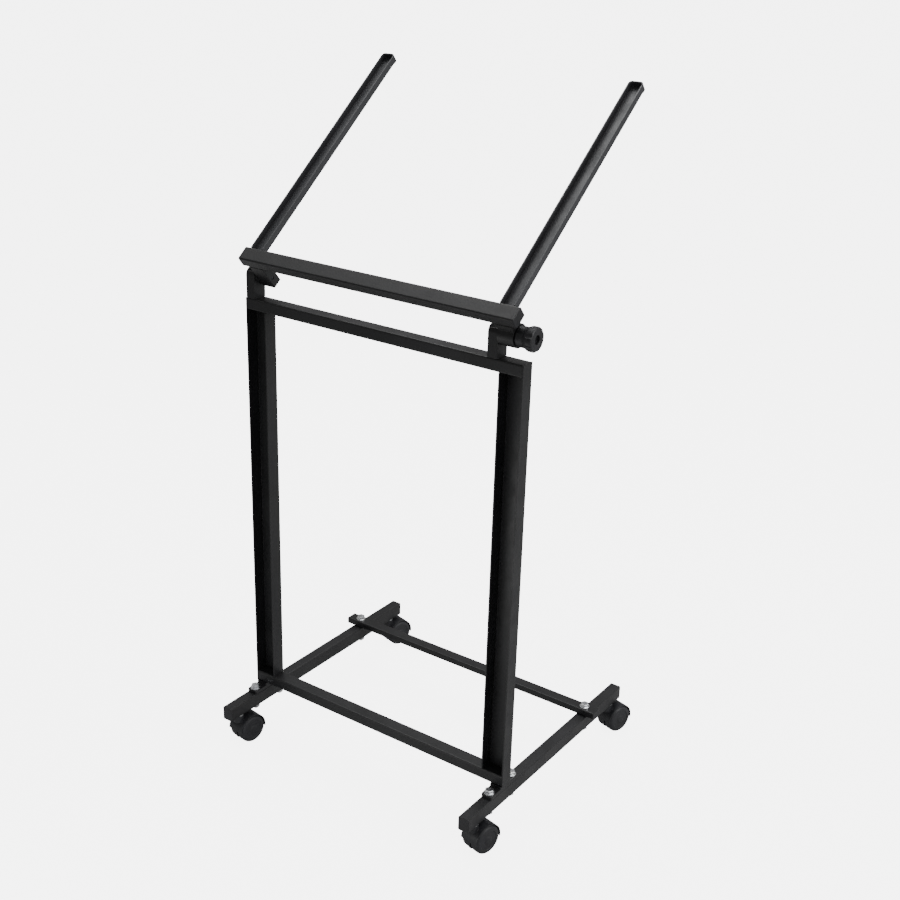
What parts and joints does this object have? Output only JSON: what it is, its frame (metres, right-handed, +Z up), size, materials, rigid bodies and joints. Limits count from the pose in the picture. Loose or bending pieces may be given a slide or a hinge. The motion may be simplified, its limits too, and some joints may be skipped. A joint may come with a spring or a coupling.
{
  "type": "rolling stand with tilting top",
  "caption": "Rolling open-frame stand: U-section posts on a caster base carry a tilting pair of channel arms behind a cross bar, held by a clamp knob.",
  "frame": {"origin": "on the floor, under the middle of the overall bounding box", "axes": "+Z up, +X to the right along the crossbars seen from the front, +Y to the rear along the side bars"},
  "size_m": [0.553, 0.5062, 1.1537],
  "materials": {
    "frame_black": "satin black powder coat",
    "plug_black": "moulded black plastic",
    "zinc": "bright zinc plate",
    "fibre": "dark nylon",
    "knob_black": "moulded black plastic, fine grain",
    "brass_insert": "as moulded in",
    "black_zinc": "black zinc plate",
    "housing_black": "moulded black nylon",
    "wheel_black": "moulded black nylon, semi-matte tread"
  },
  "bodies": {
    "base": {"bar_plug_front_left": "plug_black", "bar_plug_front_right": "plug_black", "bar_plug_rear_left": "plug_black", "bar_plug_rear_right": "plug_black", "foot_bolts": "zinc", "foot_left": "frame_black", "foot_nuts": "zinc", "foot_right": "frame_black", "friction_disc_left": "fibre", "friction_disc_right": "fibre", "hinge_bracket_left": "frame_black", "hinge_bracket_right": "frame_black", "lower_crossbar": "frame_black", "pivot_bolt_left": "black_zinc", "pivot_bolt_right": "black_zinc", "post_left": "frame_black", "post_right": "frame_black", "rear_bolts": "zinc", "rear_crossbar": "frame_black", "rear_nuts": "zinc", "rear_plug_left": "plug_black", "rear_plug_right": "plug_black", "side_bar_left": "frame_black", "side_bar_right": "frame_black", "stem_fl": "zinc", "stem_fr": "zinc", "stem_rl": "zinc", "stem_rr": "zinc", "upper_crossbar": "frame_black"},
    "top": {"lip_bar": "frame_black", "lip_plug_left": "plug_black", "lip_plug_right": "plug_black", "arm_left": "frame_black", "arm_right": "frame_black", "arm_cap_left": "frame_black", "arm_cap_right": "frame_black", "hinge_lug_left": "frame_black", "hinge_lug_right": "frame_black", "pivot_nut_left": "black_zinc"},
    "knob_carrier": {"knob_washer": "black_zinc"},
    "knob": {"clamp_knob": "knob_black", "knob_insert": "brass_insert"},
    "swivel_fl": {"housing_fl": "housing_black"},
    "wheels_fl": {"axle_fl": "zinc", "wheel_fl_a": "wheel_black", "wheel_fl_b": "wheel_black"},
    "swivel_fr": {"housing_fr": "housing_black"},
    "wheels_fr": {"axle_fr": "zinc", "wheel_fr_a": "wheel_black", "wheel_fr_b": "wheel_black"},
    "swivel_rr": {"housing_rr": "housing_black"},
    "wheels_rr": {"axle_rr": "zinc", "wheel_rr_a": "wheel_black", "wheel_rr_b": "wheel_black"},
    "swivel_rl": {"housing_rl": "housing_black"},
    "wheels_rl": {"axle_rl": "zinc", "wheel_rl_a": "wheel_black", "wheel_rl_b": "wheel_black"}
  },
  "joints": [
    {"name": "top_tilt", "type": "hinge", "parent": "base", "child": "top", "pos_m": [0, -0.15061, 0.8373], "axis": [1, 0, 0], "range_deg": [-39, 36]},
    {"name": "knob_travel", "type": "slide", "parent": "base", "child": "knob_carrier", "axis": [1, 0, 0], "range_m": [0, 0.0025]},
    {"name": "knob_turn", "type": "hinge", "parent": "knob_carrier", "child": "knob", "pos_m": [0.26, -0.15061, 0.8373], "axis": [1, 0, 0], "range_deg": [0, 721]},
    {"name": "caster_swivel_fl", "type": "hinge", "parent": "base", "child": "swivel_fl", "pos_m": [-0.25248, -0.22561, 0.05], "axis": [0, 0, 1], "continuous": true},
    {"name": "wheel_spin_fl", "type": "hinge", "parent": "swivel_fl", "child": "wheels_fl", "pos_m": [-0.24991, -0.20729, 0.025], "axis": [0.9903, -0.1392, 0], "continuous": true},
    {"name": "caster_swivel_fr", "type": "hinge", "parent": "base", "child": "swivel_fr", "pos_m": [0.24752, -0.22561, 0.05], "axis": [0, 0, 1], "continuous": true},
    {"name": "wheel_spin_fr", "type": "hinge", "parent": "swivel_fr", "child": "wheels_fr", "pos_m": [0.25136, -0.20751, 0.025], "axis": [0.9781, -0.2079, 0], "continuous": true},
    {"name": "caster_swivel_rr", "type": "hinge", "parent": "base", "child": "swivel_rr", "pos_m": [0.24752, 0.20439, 0.05], "axis": [0, 0, 1], "continuous": true},
    {"name": "wheel_spin_rr", "type": "hinge", "parent": "swivel_rr", "child": "wheels_rr", "pos_m": [0.25262, 0.22218, 0.025], "axis": [0.9613, -0.2756, 0], "continuous": true},
    {"name": "caster_swivel_rl", "type": "hinge", "parent": "base", "child": "swivel_rl", "pos_m": [-0.25248, 0.20439, 0.05], "axis": [0, 0, 1], "continuous": true},
    {"name": "wheel_spin_rl", "type": "hinge", "parent": "swivel_rl", "child": "wheels_rl", "pos_m": [-0.24769, 0.22226, 0.025], "axis": [0.9659, -0.2588, 0], "continuous": true}
  ],
  "couplings": [
    {"joint": "knob_turn", "follows": "knob_travel", "rad_per_m": 5026.5}
  ]
}
